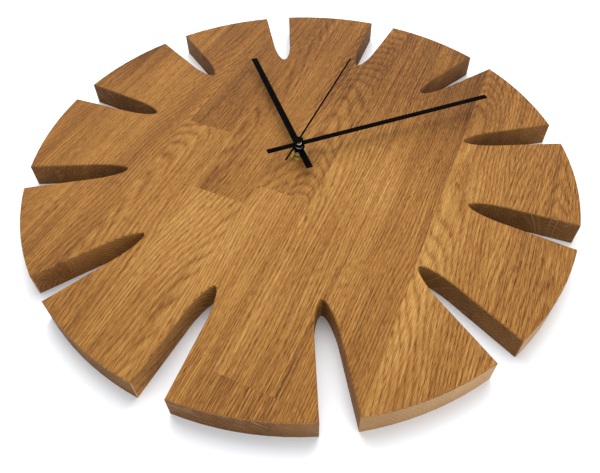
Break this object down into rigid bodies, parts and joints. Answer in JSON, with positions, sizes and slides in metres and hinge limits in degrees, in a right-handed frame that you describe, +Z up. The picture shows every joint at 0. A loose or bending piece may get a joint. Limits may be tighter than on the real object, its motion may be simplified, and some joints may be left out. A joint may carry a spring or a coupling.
{
  "type": "slotted wooden wall clock",
  "caption": "Round solid-wood wall clock with radial slots as hour marks, baton hands and a battery quartz movement let into its back; hangs on a keyhole plate.",
  "frame": {"origin": "where the axis of the wall screw meets the wall, at the upper end of the keyhole slot; the hands turn on an axis 84 mm below it", "axes": "+Z up, towards 12 o'clock; +X towards 3 o'clock; +Y into the wall, so the hands face -Y"},
  "size_m": [0.3794, 0.0325, 0.3794],
  "materials": {
    "oak": "oiled",
    "black_enamel": "satin",
    "brass": "polished",
    "zinc_steel": "zinc plated",
    "hand_collet": "satin",
    "case_plastic": "fine texture",
    "cover_plastic": "fine texture",
    "plate_plastic": "moulded",
    "wheel_plastic": "moulded",
    "knob_plastic": "moulded",
    "gasket_rubber": "matt",
    "core_steel": "rolled",
    "magnet": "sintered",
    "bobbin_plastic": "moulded",
    "enamelled_copper": "varnished wire",
    "circuit_laminate": "phenolic laminate",
    "chip_resin": "cast resin",
    "crystal_can": "drawn",
    "contact_steel": "nickel plated",
    "battery_sleeve": "shrunk film"
  },
  "bodies": {
    "clock": {"clock_face": "oak", "mounting_nut": "brass", "threaded_stem": "brass", "washer": "brass", "gasket": "gasket_rubber", "front_case": "case_plastic", "back_cover": "cover_plastic", "middle_plate": "plate_plastic", "stator": "core_steel", "coil_core": "core_steel", "coil_bobbin": "bobbin_plastic", "coil_winding": "enamelled_copper", "circuit_board": "circuit_laminate", "quartz_crystal": "crystal_can", "driver_chip": "chip_resin", "positive_contact": "contact_steel", "negative_contact": "contact_steel", "battery": "battery_sleeve", "hanger_plate": "zinc_steel", "hanger_screws": "zinc_steel"},
    "hour": {"hour_wheel": "wheel_plastic", "hour_collet": "black_enamel", "hour_hand": "black_enamel"},
    "minute": {"minute_wheel": "wheel_plastic", "minute_collet": "hand_collet", "minute_hand": "black_enamel"},
    "second": {"second_wheel": "wheel_plastic", "second_tube": "hand_collet", "second_hand": "black_enamel"},
    "third": {"third_wheel": "wheel_plastic"},
    "intermediate": {"intermediate_wheel": "wheel_plastic"},
    "rotor": {"rotor_pinion": "wheel_plastic", "rotor_magnet": "magnet"},
    "motion": {"motion_wheel": "wheel_plastic"},
    "setting": {"setting_knob": "knob_plastic"}
  },
  "joints": [
    {"name": "minute_spin", "type": "hinge", "parent": "clock", "child": "minute", "pos_m": [0, 0, -0.084], "axis": [0, 1, 0], "continuous": true},
    {"name": "hour_spin", "type": "hinge", "parent": "clock", "child": "hour", "pos_m": [0, 0, -0.084], "axis": [0, 1, 0], "continuous": true},
    {"name": "second_spin", "type": "hinge", "parent": "clock", "child": "second", "pos_m": [0, 0, -0.084], "axis": [0, 1, 0], "continuous": true},
    {"name": "motion_spin", "type": "hinge", "parent": "clock", "child": "motion", "pos_m": [0.00939, 0, -0.086], "axis": [0, 1, 0], "continuous": true},
    {"name": "third_spin", "type": "hinge", "parent": "clock", "child": "third", "pos_m": [-0.00612, 0, -0.0734], "axis": [0, 1, 0], "continuous": true},
    {"name": "intermediate_spin", "type": "hinge", "parent": "clock", "child": "intermediate", "pos_m": [0.00742, 0, -0.07658], "axis": [0, 1, 0], "continuous": true},
    {"name": "rotor_spin", "type": "hinge", "parent": "clock", "child": "rotor", "pos_m": [0.01012, 0, -0.0719], "axis": [0, 1, 0], "continuous": true},
    {"name": "setting_spin", "type": "hinge", "parent": "clock", "child": "setting", "pos_m": [0.01716, 0, -0.08035], "axis": [0, 1, 0], "continuous": true}
  ],
  "couplings": [
    {"joint": "hour_spin", "follows": "minute_spin", "ratio": 0.083333},
    {"joint": "motion_spin", "follows": "minute_spin", "ratio": -0.33333},
    {"joint": "setting_spin", "follows": "minute_spin", "ratio": 1},
    {"joint": "third_spin", "follows": "minute_spin", "ratio": -8},
    {"joint": "second_spin", "follows": "minute_spin", "ratio": 60},
    {"joint": "intermediate_spin", "follows": "minute_spin", "ratio": -360},
    {"joint": "rotor_spin", "follows": "minute_spin", "ratio": 1800}
  ]
}
